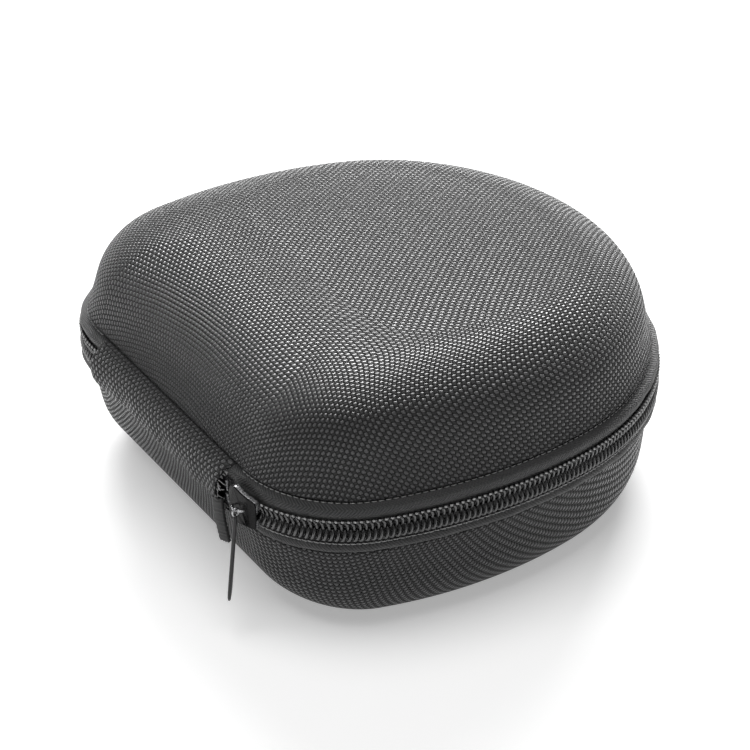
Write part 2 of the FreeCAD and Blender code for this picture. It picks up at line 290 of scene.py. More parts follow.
def tube(paths, radius, sides, closed):
    """Points and faces of round tubes along paths shaped (number, length, 3)."""
    paths = np.asarray(paths, float)
    if paths.ndim == 2:
        paths = paths[None]
    count, length, _ = paths.shape
    if closed:
        run = np.roll(paths, -1, axis=1) - np.roll(paths, 1, axis=1)
    else:
        run = np.gradient(paths, axis=1)
    run = unit(run + 1e-9)
    guide = np.array([0.13, 0.21, 1.0])
    guide = guide / np.linalg.norm(guide)
    side = unit(np.cross(run, guide))
    over = np.cross(side, run)
    radius = np.broadcast_to(np.asarray(radius, float), (count, length))
    turn = np.arange(sides) * 2.0 * math.pi / sides
    ring = side[:, :, None] * np.cos(turn)[:, None] + over[:, :, None] * np.sin(turn)[:, None]
    points = paths[:, :, None] + ring * radius[:, :, None, None]
    faces = []
    for number in range(count):
        start = number * length * sides
        faces += grid_faces(length, sides, closed_rows=closed, closed_columns=True, start=start)
        if not closed:
            faces.append(tuple(range(start + sides - 1, start - 1, -1)))
            last = start + (length - 1) * sides
            faces.append(tuple(range(last, last + sides)))
    return points.reshape(-1, 3), faces


def tube_object(name, paths, radius, sides=6, closed=False):
    points, faces = tube(paths, radius, sides, closed)
    return make_object(name, points, faces)


def resampled(path, count):
    """The same path with evenly spaced points."""
    path = np.asarray(path, float)
    gaps = np.linalg.norm(np.diff(path, axis=0), axis=1)
    place = np.concatenate([[0.0], np.cumsum(gaps)])
    even = np.linspace(0.0, place[-1], count)
    return np.stack([np.interp(even, place, path[:, k]) for k in range(path.shape[1])], axis=1)


def rounded(path, passes, count=0):
    """The path with its corners smoothed away and its ends kept."""
    path = resampled(path, count) if count else np.asarray(path, float).copy()
    for _ in range(passes):
        path[1:-1] = 0.25 * path[:-2] + 0.5 * path[1:-1] + 0.25 * path[2:]
    return path


def thickened(path, thick):
    """A strip's closed cross-section: the path, and back along it moved aside by its thickness."""
    run = unit(np.gradient(path, axis=0))
    aside = np.stack([-run[:, 1], run[:, 0]], axis=1)
    return np.concatenate([path, (path + aside * thick)[::-1]])


def strip(name, s, sections):
    """A solid strip along the outline: one closed (out, up) cross-section for each distance s."""
    sections = np.asarray(sections, float)
    if sections.ndim == 2:
        sections = np.broadcast_to(sections, (len(s),) + sections.shape)
    columns = sections.shape[1]
    points = at(np.repeat(s[:, None], columns, axis=1), sections[:, :, 0], sections[:, :, 1])
    around = np.concatenate([[0.0], np.cumsum(np.linalg.norm(np.diff(sections[0], axis=0), axis=1))])
    uv = np.stack(np.broadcast_arrays(s[:, None], around[None]), axis=-1)
    faces = grid_faces(len(s), columns, closed_columns=True)
    faces.append(tuple(range(columns - 1, -1, -1)))
    faces.append(tuple(range((len(s) - 1) * columns, len(s) * columns)))
    return face_outward(make_object(name, points.reshape(-1, 3), faces, uv.reshape(-1, 2)))


# ---------------------------------------------------------------- shells
def shell_profile(wall, lean, shoulder, crown, turned_rim):
    """(inset, height) stations from the rim to the middle, and each one's share of the way over the flat."""
    points = [(0.0, 0.0), (wall * lean, wall)]
    for step in range(1, 19):
        turn = step * 5.0 * DEG
        inset = wall * lean + shoulder[0] * (1.0 - math.cos(turn))
        points.append((inset, wall + shoulder[1] * math.sin(turn)))
    path = rounded(points, 30, 64)
    if turned_rim:
        lip = np.array([(3.0, -0.5), (1.7, -0.55), (0.75, -0.35), (0.2, 0.15)])
        path = np.concatenate([lip, path[1:]])
    middle = np.zeros(len(path))
    shares = np.linspace(0.0, 1.0, 16)[1:]
    domes = [(path[-1][0], path[-1][1] + crown * (1.0 - (1.0 - share) ** 2)) for share in shares]
    return np.concatenate([path, domes]), np.concatenate([middle, shares])


def sunk(profile, middle, depth):
    """The profile moved in by a depth, along its own normals, and straight down where it is flat."""
    run = unit(np.gradient(profile, axis=0) + 1e-9)
    inward = np.stack([run[:, 1], -run[:, 0]], axis=1)
    inward[middle > 0.0] = (0.0, -1.0)
    inward[int(np.argmax(middle > 0.0)) - 1] = (0.0, -1.0)
    return profile + inward * depth


def section_points(insets, depth, stretch):
    """The outline moved in by each inset: a true offset near the rim, and a squeezed outline further in."""
    rings = []
    low = FRONT_Y + RIM_INSET
    high = HINGE_Y - RIM_INSET
    rim = RING_P - RING_N * RIM_INSET
    for inset in insets:
        extra = max(inset - depth, 0.0)
        rear = RIM_INSET + min(inset, depth) + extra * stretch[0]
        front = RIM_INSET + min(inset, depth) + extra * stretch[1]
        side = RIM_INSET + inset
        x = rim[:, 0] * (HALF_WIDTH - side) / (HALF_WIDTH - RIM_INSET)
        y = FRONT_Y + front + (rim[:, 1] - low) * (HINGE_Y - rear - FRONT_Y - front) / (high - low)
        squeezed = np.stack([x, y], axis=1)
        back = np.maximum(RING_N[:, 1], 0.0) ** 2
        ahead = np.maximum(-RING_N[:, 1], 0.0) ** 2
        reach = side + extra * ((stretch[0] - 1.0) * back + (stretch[1] - 1.0) * ahead)
        offset = RING_P - RING_N * reach[:, None]
        share = float(smoothstep(4.0, 30.0, inset))
        rings.append(offset * (1.0 - share) + squeezed * share)
    return np.array(rings)


def shell_surface(kind, depth, turned_rim=False):
    """Rings of points a depth inside a shell's outer face, and their cloth coordinates."""
    if kind == "lid":
        profile, middle = shell_profile(LID_WALL, LID_LEAN, LID_SHOULDER, LID_CROWN, turned_rim)
        stretch = LID_STRETCH
    else:
        profile, middle = shell_profile(TRAY_WALL, TRAY_LEAN, TRAY_SHOULDER, 0.0, turned_rim)
        stretch = TRAY_STRETCH
    deep = sunk(profile, middle, depth)
    if depth:
        deep[0] = (profile[0][0] + depth, profile[0][1])
    rings = section_points(deep[:, 0], depth, stretch)
    centre = np.array([0.0, (rings[-1][:, 1].max() + rings[-1][:, 1].min()) / 2.0])
    rings = rings * (1.0 - middle)[:, None, None] + centre * middle[:, None, None]
    height = np.broadcast_to(deep[:, 1][:, None], rings.shape[:2])
    z = LID_RIM_Z + height if kind == "lid" else TRAY_RIM_Z - height
    surface = np.concatenate([rings, z[..., None]], axis=-1)
    return surface, cloth_map(surface, middle, centre, LET_OUT[kind])


def cloth_map(surface, middle, centre, let_out):
    """Flat cloth coordinates: skewed over the top as the cloth was pulled, then let out down each wall."""
    edge = int(np.argmax(middle > 0.0)) - 1
    flat = surface[..., :2] - centre
    gaps = np.linalg.norm(np.diff(surface, axis=0), axis=-1)
    length = np.concatenate([np.zeros((1, gaps.shape[1])), np.cumsum(gaps, axis=0)])
    share = smoothstep(-50.0, 60.0, flat[edge][:, 1])
    let = let_out[0] + (let_out[1] - let_out[0]) * share
    beyond = np.maximum(length[edge][None] - length, 0.0) * let[None]
    inside = (middle > 0.0)[:, None, None]
    plan = np.where(inside, flat, flat[edge][None])
    x, y = plan[..., 0], plan[..., 1]
    u = x - 0.0013 * x * y - 0.0022 * y * y
    v = y + 0.00185 * y * y - 0.12 * x + 0.00105 * x * x
    walls = unit(flat[edge])[None] * beyond[..., None]
    return np.stack([u, v], axis=-1) + np.where(inside, 0.0, walls)


def shell_layer(name, kind, depths, turned_rim=False):
    """A closed shell between two depths."""
    outer, uv = shell_surface(kind, depths[0], turned_rim)
    inner, _ = shell_surface(kind, depths[1], turned_rim)
    rows, columns = outer.shape[:2]
    points = np.concatenate([outer.reshape(-1, 3), inner.reshape(-1, 3)])
    coordinates = np.concatenate([uv.reshape(-1, 2), uv.reshape(-1, 2)])
    faces = grid_faces(rows, columns, closed_columns=True)
    faces += grid_faces(rows, columns, closed_columns=True, start=rows * columns)
    for j in range(columns):
        k = (j + 1) % columns
        faces.append((j, k, rows * columns + k, rows * columns + j))
    obj = make_object(name, points, faces, coordinates)

    def weld(work):
        bmesh.ops.remove_doubles(work, verts=work.verts, dist=WELD_GAP * MM)

    face_outward(obj, weld)
    obj.data.polygons.foreach_set("use_smooth", [True] * len(obj.data.polygons))
    return obj


def shell_band(name, kind, depths, low, high):
    """A closed ring along a shell's rim, between two depths and two heights from the rim."""
    base = LID_RIM_Z if kind == "lid" else TRAY_RIM_Z
    heights = np.linspace(low, high, 9)
    stations = 40
    bands = []
    for depth in depths:
        surface, uv = shell_surface(kind, depth)
        both = np.concatenate([surface, uv], axis=-1)
        rise = np.abs(surface[:stations, 0, 2] - base)
        row = np.interp(heights, rise, np.arange(stations))
        below = np.minimum(row.astype(int), stations - 2)
        share = (row - below)[:, None, None]
        bands.append(both[below] * (1.0 - share) + both[below + 1] * share)
    band = np.concatenate([bands[0], bands[1][::-1]])
    rows, columns = band.shape[:2]
    faces = grid_faces(rows, columns, closed_rows=True, closed_columns=True)
    points, uv = band[..., :3].reshape(-1, 3), band[..., 3:].reshape(-1, 2)
    return face_outward(make_object(name, points, faces, uv))


def cut(obj, *planes):
    """Cuts away what lies beyond each (place, normal) plane in turn, and closes the cuts."""
    def slice_off(work):
        for place, normal in planes:
            parts = list(work.verts) + list(work.edges) + list(work.faces)
            place = [value * MM for value in place]
            made = bmesh.ops.bisect_plane(work, geom=parts, plane_co=place, plane_no=normal, clear_outer=True)
            edges = [edge for edge in made["geom_cut"] if isinstance(edge, bmesh.types.BMEdge)]
            bmesh.ops.holes_fill(work, edges=edges)

    face_outward(obj, slice_off)


# ---------------------------------------------------------------- material nodes
class Nodes:
    """Short names for the maths nodes of one material."""

    def __init__(self, material):
        self.tree = material.node_tree
        self.shader = self.tree.nodes["Principled BSDF"]

    def node(self, kind, **values):
        made = self.tree.nodes.new(kind)
        for name, value in values.items():
            setattr(made, name, value)
        return made

    def put(self, socket, value):
        if isinstance(value, bpy.types.NodeSocket):
            self.tree.links.new(value, socket)
        else:
            socket.default_value = value

    def math(self, operation, a, b=0.0):
        made = self.node("ShaderNodeMath", operation=operation)
        for socket, value in zip(made.inputs, (a, b)):
            self.put(socket, value)
        return made.outputs[0]

    def mix(self, share, a, b):
        """a where share is 0 and b where it is 1."""
        made = self.node("ShaderNodeMix", data_type="FLOAT")
        self.put(made.inputs[0], share)
        self.put(made.inputs[2], a)
        self.put(made.inputs[3], b)
        return made.outputs[0]

    def tint(self, share, a, b):
        made = self.node("ShaderNodeMix", data_type="RGBA")
        self.put(made.inputs[0], share)
        self.put(made.inputs[6], (*a, 1.0) if isinstance(a, tuple) else a)
        self.put(made.inputs[7], (*b, 1.0) if isinstance(b, tuple) else b)
        return made.outputs[2]

    def split(self, vector):
        made = self.node("ShaderNodeSeparateXYZ")
        self.put(made.inputs[0], vector)
        return made.outputs

    def uv(self):
        return self.split(self.node("ShaderNodeTexCoord").outputs["UV"])

    def place(self):
        return self.node("ShaderNodeTexCoord").outputs["Object"]

    def noise(self, scale, detail=2.0):
        made = self.node("ShaderNodeTexNoise")
        self.put(made.inputs["Vector"], self.place())
        made.inputs["Scale"].default_value = scale
        made.inputs["Detail"].default_value = detail
        return made.outputs["Fac"]

    def hump(self, fraction, sharpness):
        """A thread's round back: 0 at each edge of the fraction and 1 in the middle."""
        arch = self.math("SINE", self.math("MULTIPLY", fraction, math.pi))
        return self.math("POWER", self.math("MAXIMUM", arch, 0.0), sharpness)

    def relief(self, height, distance, strength=1.0):
        made = self.node("ShaderNodeBump")
        made.inputs["Strength"].default_value = strength
        made.inputs["Distance"].default_value = distance
        self.put(made.inputs["Height"], height)
        self.put(self.shader.inputs["Normal"], made.outputs["Normal"])

    def colour(self, value):
        self.put(self.shader.inputs["Base Color"], value)

    def roughness(self, value):
        self.put(self.shader.inputs["Roughness"], value)


def material(name, colour, roughness, metallic=0.0, sheen=0.0, specular=0.5):
    made = bpy.data.materials.new(name)
    made.use_nodes = True
    nodes = Nodes(made)
    shader = nodes.shader
    shader.inputs["Base Color"].default_value = (*colour, 1.0)
    shader.inputs["Roughness"].default_value = roughness
    shader.inputs["Metallic"].default_value = metallic
    shader.inputs["Sheen Weight"].default_value = sheen
    shader.inputs["Sheen Roughness"].default_value = 0.4
    shader.inputs["Specular IOR Level"].default_value = specular
    return made, nodes


def woven(name, pitch, dark, light, painted_gap_shade, depth, roughness, gloss):
    """Plain weave of fat filament yarns, one way round painted lighter than the other as a painted glint of
    the key light on the nylon, and painted near black in the low places between yarns as painted shade.
    """
    made, n = material(name, dark, roughness, specular=0.6)
    u, v, _ = n.uv()
    drift = n.math("MULTIPLY", n.math("SUBTRACT", n.noise(55.0, 2.0), 0.5), 0.5)
    a = n.math("ADD", n.math("DIVIDE", u, pitch[0] * MM), drift)
    b = n.math("ADD", n.math("DIVIDE", v, pitch[1] * MM), drift)
    fa, fb = n.math("FRACT", a), n.math("FRACT", b)
    cells = n.math("ADD", n.math("FLOOR", a), n.math("FLOOR", b))
    across = n.math("PINGPONG", cells, 1.0)
    along_u = n.math("MULTIPLY", n.hump(fb, 0.6), n.mix(n.hump(fa, 0.7), 0.3, 1.0))
    along_v = n.math("MULTIPLY", n.hump(fa, 0.6), n.mix(n.hump(fb, 0.7), 0.2, 0.85))
    thread = n.mix(across, along_u, along_v)
    hair_u = n.math("SINE", n.math("MULTIPLY", fb, 2.0 * math.pi * 6.0))
    hair_v = n.math("SINE", n.math("MULTIPLY", fa, 2.0 * math.pi * 5.0))
    hair = n.mix(across, hair_u, hair_v)
    height = n.math("ADD", thread, n.math("MULTIPLY", hair, 0.035))
    wear = n.noise(9.0, 3.0)
    # painted glint: one yarn direction takes the lighter colour, standing for the key light catching the
    # nylon along it
    shade = n.tint(across, light, dark)
    shade = n.tint(n.math("MULTIPLY", wear, 0.35), shade, tuple(0.75 * c for c in light))
    # painted shade: where the threads sink between yarns the colour turns near black
    low = smooth_range(n, thread, 0.15, 0.65)
    n.colour(n.tint(low, painted_gap_shade, shade))
    n.roughness(n.mix(low, 1.0, n.mix(across, gloss, roughness)))
    n.relief(height, depth * MM)
    return made


def smooth_range(n, value, low, high):
    """0 below low and 1 above high, eased between."""
    made = n.node("ShaderNodeMapRange", interpolation_type="SMOOTHSTEP")
    n.put(made.inputs["Value"], value)
    made.inputs["From Min"].default_value = low
    made.inputs["From Max"].default_value = high
    return made.outputs["Result"]


def nylon_weave():
    # the light colour is a painted glint on one yarn direction; the last colour is painted shade between the
    # yarns
    dark, light, painted_gap_shade = (0.005, 0.005, 0.0052), (0.082, 0.082, 0.084), (0.0008, 0.0008, 0.0008)
    return woven("ballistic_nylon", WEAVE_PITCH, dark, light, painted_gap_shade, depth=0.7, roughness=0.8, gloss=0.22)


def herringbone():
    """Zip tape: fine slanted ribs that turn back and forth."""
    made, n = material("zip_tape", (0.02, 0.02, 0.021), 0.55, sheen=0.15)
    u, v, _ = n.uv()
    way = n.math("PINGPONG", v, 2.6 * MM)
    slant = n.math("DIVIDE", n.math("ADD", u, n.math("MULTIPLY", way, 1.1)), 1.3 * MM)
    rib = n.hump(n.math("FRACT", slant), 0.7)
    thread = n.hump(n.math("FRACT", n.math("DIVIDE", v, 0.4 * MM)), 0.6)
    height = n.math("MULTIPLY", rib, n.mix(thread, 0.65, 1.0))
    # painted shade: the colour follows the rib height, darkest in the furrows between ribs and threads
    n.colour(n.tint(height, (0.002, 0.002, 0.002), (0.045, 0.045, 0.046)))
    n.relief(height, 0.35 * MM)
    return made


def coil_nylon():
    """Glossy extruded monofilament with slight scuffs."""
    made, n = material("nylon_coil", (0.036, 0.036, 0.037), 0.2, specular=1.0)
    scuff = n.noise(900.0, 3.0)
    n.roughness(n.mix(smooth_range(n, scuff, 0.35, 0.75), 0.13, 0.3))
    n.relief(scuff, 0.02 * MM)
    return made


def twisted_thread():
    made, n = material("sewing_thread", (0.12, 0.12, 0.12), 0.4, sheen=0.2)
    x, y, z = n.split(n.place())
    lay = n.math("ADD", n.math("ADD", x, y), n.math("MULTIPLY", z, 1.6))
    ply = n.hump(n.math("FRACT", n.math("DIVIDE", lay, 0.32 * MM)), 0.7)
    # painted highlight: the thread is light overall and lightest on each ply's crown, standing for the glint
    # on the nylon; darker between plies as painted shade
    n.colour(n.tint(ply, (0.16, 0.16, 0.16), (0.6, 0.6, 0.6)))
    n.relief(ply, 0.08 * MM)
    return made


def tricot():
    """Brushed knit lining: fine wales with a short nap."""
    made, n = material("tricot_lining", (0.022, 0.022, 0.024), 0.85, sheen=0.45)
    u, v, _ = n.uv()
    wale = n.hump(n.math("FRACT", n.math("DIVIDE", u, 0.75 * MM)), 0.7)
    row = n.math("ADD", n.math("DIVIDE", v, 0.6 * MM), n.math("MULTIPLY", wale, 0.4))
    course = n.hump(n.math("FRACT", row), 0.8)
    loop = n.math("MULTIPLY", wale, n.mix(course, 0.55, 1.0))
    nap = n.noise(420.0, 4.0)
    height = n.math("ADD", loop, n.math("MULTIPLY", nap, 0.7))
    # painted shade: darker between the knit loops; the nap's random tone is the cloth's own
    n.colour(n.tint(height, (0.008, 0.008, 0.009), (0.04, 0.04, 0.043)))
    n.relief(height, 0.12 * MM)
    return made


def foam():
    made, n = material("eva_foam", (0.03, 0.03, 0.031), 0.9)
    cell = n.node("ShaderNodeTexVoronoi")
    n.put(cell.inputs["Vector"], n.place())
    cell.inputs["Scale"].default_value = 1600.0
    pore = cell.outputs["Distance"]
    # painted shade: darker inside each pore
    n.colour(n.tint(pore, (0.012, 0.012, 0.012), (0.05, 0.05, 0.052)))
    n.relief(pore, 0.1 * MM)
    return made


def grosgrain(name, pitch, low, high):
    """Ribbed tape, its ribs across its length."""
    made, n = material(name, high, 0.6, sheen=0.04, specular=0.3)
    u, v, _ = n.uv()
    rib = n.hump(n.math("FRACT", n.math("DIVIDE", u, pitch * MM)), 0.6)
    thread = n.hump(n.math("FRACT", n.math("DIVIDE", v, 0.42 * MM)), 0.7)
    height = n.math("MULTIPLY", rib, n.mix(thread, 0.75, 1.0))
    # painted shade: the low colour in the furrows between ribs and threads, the high colour on their crowns
    n.colour(n.tint(height, low, high))
    n.relief(height, 0.14 * MM)
    return made


def net_thread():
    made, n = material("mesh_net", (0.025, 0.025, 0.027), 0.5, sheen=0.2)
    fuzz = n.noise(1500.0, 3.0)
    n.colour(n.tint(fuzz, (0.01, 0.01, 0.011), (0.045, 0.045, 0.048)))
    n.relief(fuzz, 0.05 * MM)
    return made


def plated(name, colour, roughness):
    """Cast and plated metal, a little uneven, with rubbed spots."""
    made, n = material(name, colour, roughness, metallic=1.0)
    cast = n.noise(260.0, 4.0)
    scuff = n.noise(1400.0, 2.0)
    rubbed = smooth_range(n, scuff, 0.4, 0.7)
    height = n.math("ADD", cast, n.math("MULTIPLY", scuff, 0.3))
    n.roughness(n.mix(rubbed, roughness * 0.8, roughness * 1.5))
    n.relief(height, 0.05 * MM, 0.6)
    return made


def enamel():
    """Black gloss enamel on cast metal, faintly uneven."""
    made, n = material("slider_metal", (0.003, 0.003, 0.0032), 0.35, specular=0.08)
    cast = n.noise(300.0, 3.0)
    n.roughness(n.mix(smooth_range(n, n.noise(1200.0, 2.0), 0.4, 0.75), 0.25, 0.4))
    n.relief(cast, 0.05 * MM, 0.5)
    return made


def moulded_rubber():
    made, n = material("pull_rubber", (0.016, 0.016, 0.017), 0.42)
    grain = n.noise(1100.0, 3.0)
    n.colour(n.tint(n.noise(60.0), (0.012, 0.012, 0.013), (0.026, 0.026, 0.027)))
    n.relief(grain, 0.04 * MM)
    return made


MATERIALS = {
    "ballistic_nylon": nylon_weave(),
    "zip_tape": herringbone(),
    "nylon_coil": coil_nylon(),
    "sewing_thread": twisted_thread(),
    "tricot_lining": tricot(),
    "eva_foam": foam(),
    "edge_binding": grosgrain("edge_binding", 0.85, (0.007, 0.007, 0.0075), (0.032, 0.032, 0.034)),
    "elastic_hem": grosgrain("elastic_hem", 1.1, (0.003, 0.003, 0.0032), (0.014, 0.014, 0.0145)),
    "mesh_net": net_thread(),
    "slider_metal": enamel(),
    "stop_metal": plated("stop_metal", (0.45, 0.45, 0.46), 0.3),
    "pull_rubber": moulded_rubber(),
}


def finish_piece(obj, slot, body, *nodes):
    """Gives a piece its material, slot and body, and hides the frame's parts that it stands for."""
    obj.data.materials.clear()
    obj.data.materials.append(MATERIALS[slot])
    if body is not None:
        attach(obj, body)
    if nodes:
        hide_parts(*nodes)
    return obj


def moulded_cloth(name, kind, depths, slot, *nodes):
    obj = shell_layer(name, kind, depths, turned_rim=depths is SKIN)
    finish_piece(obj, slot, kind, *nodes)


def shells():
    lid_foam = finish_piece(shell_layer("lid_foam", "lid", FOAM), "eva_foam", "lid", "lid_foam_core")
    tray_foam = finish_piece(shell_layer("tray_foam", "tray", FOAM), "eva_foam", "tray", "tray_foam_core")
    moulded_cloth("lid_skin", "lid", SKIN, "ballistic_nylon", "lid_outer_fabric")
    moulded_cloth("tray_skin", "tray", SKIN, "ballistic_nylon", "tray_side_fabric", "tray_base_fabric")
    moulded_cloth("lid_lining_cloth", "lid", LINING, "tricot_lining", "lid_lining")
    moulded_cloth("tray_lining_cloth", "tray", LINING, "tricot_lining", "tray_lining")


def bindings():
    for kind in ("lid", "tray"):
        obj = shell_band(kind + "_binding", kind, BINDING, 0.0, BINDING_HEIGHT)
        finish_piece(obj, "edge_binding", kind, kind + "_rim_binding")


# ---------------------------------------------------------------- zip
def tape_section():
    """The tape's (out, up) section: flat behind the coil, then a round ridge, then in under the shell."""
    path = [
        (-2.5, 0.6), (-2.5, 3.3), (-2.25, 4.3), (-1.3, 5.4), (-0.85, 6.7),
        (-1.3, 8.0), (-2.6, 8.8), (-3.9, 9.05), (-9.0, 9.1)]
    return thickened(rounded(path, 6, 40), TAPE_THICK)


def zip_tapes():
    section = tape_section()
    tuck = BAND_HALF - 2.0
    run = np.linspace(tuck, S_ALL - tuck, int((S_ALL - tuck - tuck) / 1.6))
    for kind, sign in (("lid", 1.0), ("tray", -1.0)):
        ripple = 0.12 * np.sin(run * 0.21) + 0.1 * np.sin(run * 0.47 + 1.0)
        soft = smoothstep(4.0, 6.5, section[:, 1]) * (1.0 - smoothstep(8.0, 9.0, section[:, 1]))
        pressed = 1.5 * np.exp(-((S_ALL - run - SLIDER_S) / 8.0) ** 2)
        sections = np.repeat(section[None], len(run), axis=0)
        sections[:, :, 0] += (ripple - pressed)[:, None] * soft[None]
        sections[:, :, 1] *= sign
        obj = strip(kind + "_tape", run, sections)
        finish_half(obj, "zip_tape", kind, "zip_tape")


def finish_half(obj, slot, kind, part):
    """Finishes one half of the zip. The tray's rides on the tray; the lid's is left on no body, with its
    transform baked into its mesh.
    """
    if kind == "tray":
        finish_piece(obj, slot, "tray", "tray_" + part)
        return
    nodes = ["lid_" + part]
    if part != "seam_thread":
        nodes.append("lid_" + part + "_ends")
    finish_piece(obj, slot, None, *nodes)
    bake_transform(obj)


def parting(s):
    """How far each coil stands off the split plane: nothing in the closed chain, more ahead of the slider."""
    ahead = S_ALL - np.mod(s, S_ALL)
    ahead = np.where(ahead > S_HALF, 1e6, ahead)
    return 1.5 * (1.0 - smoothstep(SLIDER_S - 8.0, SLIDER_S - 2.0, ahead))


def coil_path(sign):
    """One coil's wire, its loops leaning back and set half a pitch from the other coil's."""
    start = CHAIN_END + (0.0 if sign > 0 else COIL_PITCH / 2.0)
    loops = int((S_ALL - 2.0 * CHAIN_END) / COIL_PITCH) - 1
    per_loop = 16
    turn = np.arange(loops * per_loop) * 2.0 * math.pi / per_loop
    middle = (COIL_UP[0] + COIL_UP[1]) / 2.0
    reach = (COIL_UP[1] - COIL_UP[0]) / 2.0 - WIRE_R
    out_middle = (COIL_OUT[0] + COIL_OUT[1]) / 2.0
    out_reach = (COIL_OUT[1] - COIL_OUT[0]) / 2.0
    swing = np.sin(turn)
    up = middle + reach * np.sign(swing) * np.abs(swing) ** 0.8
    out = out_middle + out_reach * np.cos(turn)
    s = start + turn / (2.0 * math.pi) * COIL_PITCH - 0.2 * COIL_PITCH * np.cos(turn)
    return at(s, out + COIL_LEAN * (up - COIL_UP[1]), sign * (up + parting(s)))


def zip_coils():
    for kind, sign in (("lid", 1.0), ("tray", -1.0)):
        obj = tube_object(kind + "_coil", coil_path(sign), WIRE_R)
        finish_half(obj, "nylon_coil", kind, "zip_coil")


def dashes(pitch, length, out, up, slant, sag):
    """Paths of separate stitches along the whole chain, which dip into the cloth at both ends."""
    near = CHAIN_END + STITCH_MARGIN
    far = S_ALL - CHAIN_END - STITCH_MARGIN
    start = near + np.arange(int((far - near) / pitch))[:, None] * pitch
    share = np.linspace(0.0, 1.0, 5)[None]
    arch = np.sin(share * math.pi) ** 0.6
    return at(start + share * length, out - sag + sag * arch, up + slant * (share - 0.5))


def stitches():
    """For each half, a seam sunk in the groove beside the shell, and a row beside the coil: stitches on the
    tray, and on the lid short light dots along the coil's top edge, a painted highlight for the glint on the
    coil's top bends.
    """
    seam = SEAM_STITCH
    for kind, sign in (("lid", 1.0), ("tray", -1.0)):
        groove = dashes(seam["pitch"], seam["length"], seam["out"], sign * seam["up"], slant=0.0, sag=0.25)
        if kind == "lid":
            # painted highlight: on the lid the row is short fat light dots along the coil's top edge,
            # standing for the glint on the coil's top bends
            row, row_radius = dashes(COIL_PITCH, 0.7, -0.72, 3.85, slant=0.25, sag=0.15), 0.33
        else:
            row, row_radius = dashes(COIL_PITCH, 1.9, -1.35, -4.85, slant=0.2, sag=0.2), 0.17
        paths = np.concatenate([groove, row])
        radius = np.full(paths.shape[:2], seam["radius"])
        radius[len(groove):] = row_radius
        obj = tube_object(kind + "_zip_stitches", paths, radius)
        finish_half(obj, "sewing_thread", kind, "seam_thread")


# ---------------------------------------------------------------- hinge
def band_path():
    """The hinge strip's (out, up) line, from the lid's edge over the bulge to the tray's edge."""
    path = [
        (-4.6, 8.7), (-3.6, 8.7), (-2.1, 8.1), (0.0, 6.7), (1.6, 4.4), (2.3, 1.6), (2.2, -1.8),
        (1.5, -4.2), (0.6, -5.6), (-0.6, -6.9), (-2.2, -8.4), (-3.4, -9.05), (-4.6, -9.0)]
    return rounded(path, 3, 49)


def hinge_band():
    """The woven strip that joins the halves: it bulges, with a crease under it and a few soft folds."""
    run = np.linspace(-BAND_HALF, BAND_HALF, 117)
    path = band_path()
    spread = np.sin(np.linspace(0.0, 1.0, len(path)) * math.pi) ** 0.7
    sections = []
    for x in run:
        fold = 0.35 * math.sin(x * 0.19 + 0.6) + 0.22 * math.sin(x * 0.43 + 2.0)
        bulge = 0.5 * float(smoothstep(30.0, 46.0, x))
        crease = 0.5 * np.exp(-((path[:, 1] + 5.3 - 0.5 * math.sin(x * 0.11)) / 0.9) ** 2)
        moved = path.copy()
        moved[:, 0] += spread * (fold * smoothstep(6.0, -3.0, path[:, 1]) + bulge) - crease
        sections.append(thickened(moved, BAND_THICK))
    obj = strip("hinge_cloth", run, np.array(sections))
    rag_end(obj)
    finish_piece(obj, "ballistic_nylon", None, "hinge_band")
    bend_at_hinge(obj)


def rag_end(obj):
    """Makes the strip's near cut edge uneven."""
    for vertex in obj.data.vertices:
        near = float(smoothstep(-(BAND_HALF - 2.4) * MM, -BAND_HALF * MM, vertex.co.x))
        up = vertex.co.z / MM - SPLIT_Z
        waver = 0.5 * math.sin(up * 2.3) + 0.3 * math.sin(up * 5.1 + 1.0)
        vertex.co.x -= near * (waver + 0.03 * up * up - 0.4) * MM


def bend_at_hinge(obj):
    """Bakes the piece's transform into its mesh, leaving it on no body."""
    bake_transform(obj)


def hinge_lining():
    run = np.linspace(-BAND_HALF + 1.0, BAND_HALF - 1.0, 60)
    path = np.stack([np.full(24, -5.0), np.linspace(8.6, -8.6, 24)], axis=1)
    obj = strip("hinge_lining", run, thickened(path, LINER_THICK))
    finish_piece(obj, "tricot_lining", None, "hinge_liner")
    bend_at_hinge(obj)


def loose_tail():
    """The zip's cut end, left hanging behind the near end of the hinge strip."""
    top = np.array([-44.4, SPLIT_Z - 4.2])
    lean = np.array([-0.36, -0.93])
    across = np.array([0.93, -0.36])
    along = np.linspace(0.0, 1.0, 40)
    side = np.linspace(-0.5, 0.5, 15)
    points, uv = [], []
    for layer in (0.0, 1.0):
        for share in along:
            for place in side:
                ragged = 0.5 * math.sin(place * 31.0) * float(smoothstep(0.9, 1.0, share))
                flat = top + lean * (TAIL_LENGTH * share + ragged) + across * TAIL_WIDTH * place
                ribs = 0.12 * math.sin(share * 62.0)
                out = 1.7 + 0.55 * math.sin(share * 2.6) - 1.2 * place * place + ribs - TAIL_THICK * layer
                points.append((flat[0], HINGE_Y + out, flat[1]))
                uv.append((TAIL_LENGTH * share, TAIL_WIDTH * place))
    rows, columns = len(along), len(side)
    faces = grid_faces(rows, columns)
    faces += grid_faces(rows, columns, start=rows * columns)
    rim = list(range(columns))
    rim += [i * columns + columns - 1 for i in range(1, rows)]
    rim += [(rows - 1) * columns + j for j in range(columns - 2, -1, -1)]
    rim += [i * columns for i in range(rows - 2, 0, -1)]
    offset = rows * columns
    for a, b in zip(rim, rim[1:] + rim[:1]):
        faces.append((a, b, b + offset, a + offset))
    obj = face_outward(make_object("zip_tail", points, faces, uv))
    finish_piece(obj, "elastic_hem", "tray", "zip_chain_tail")


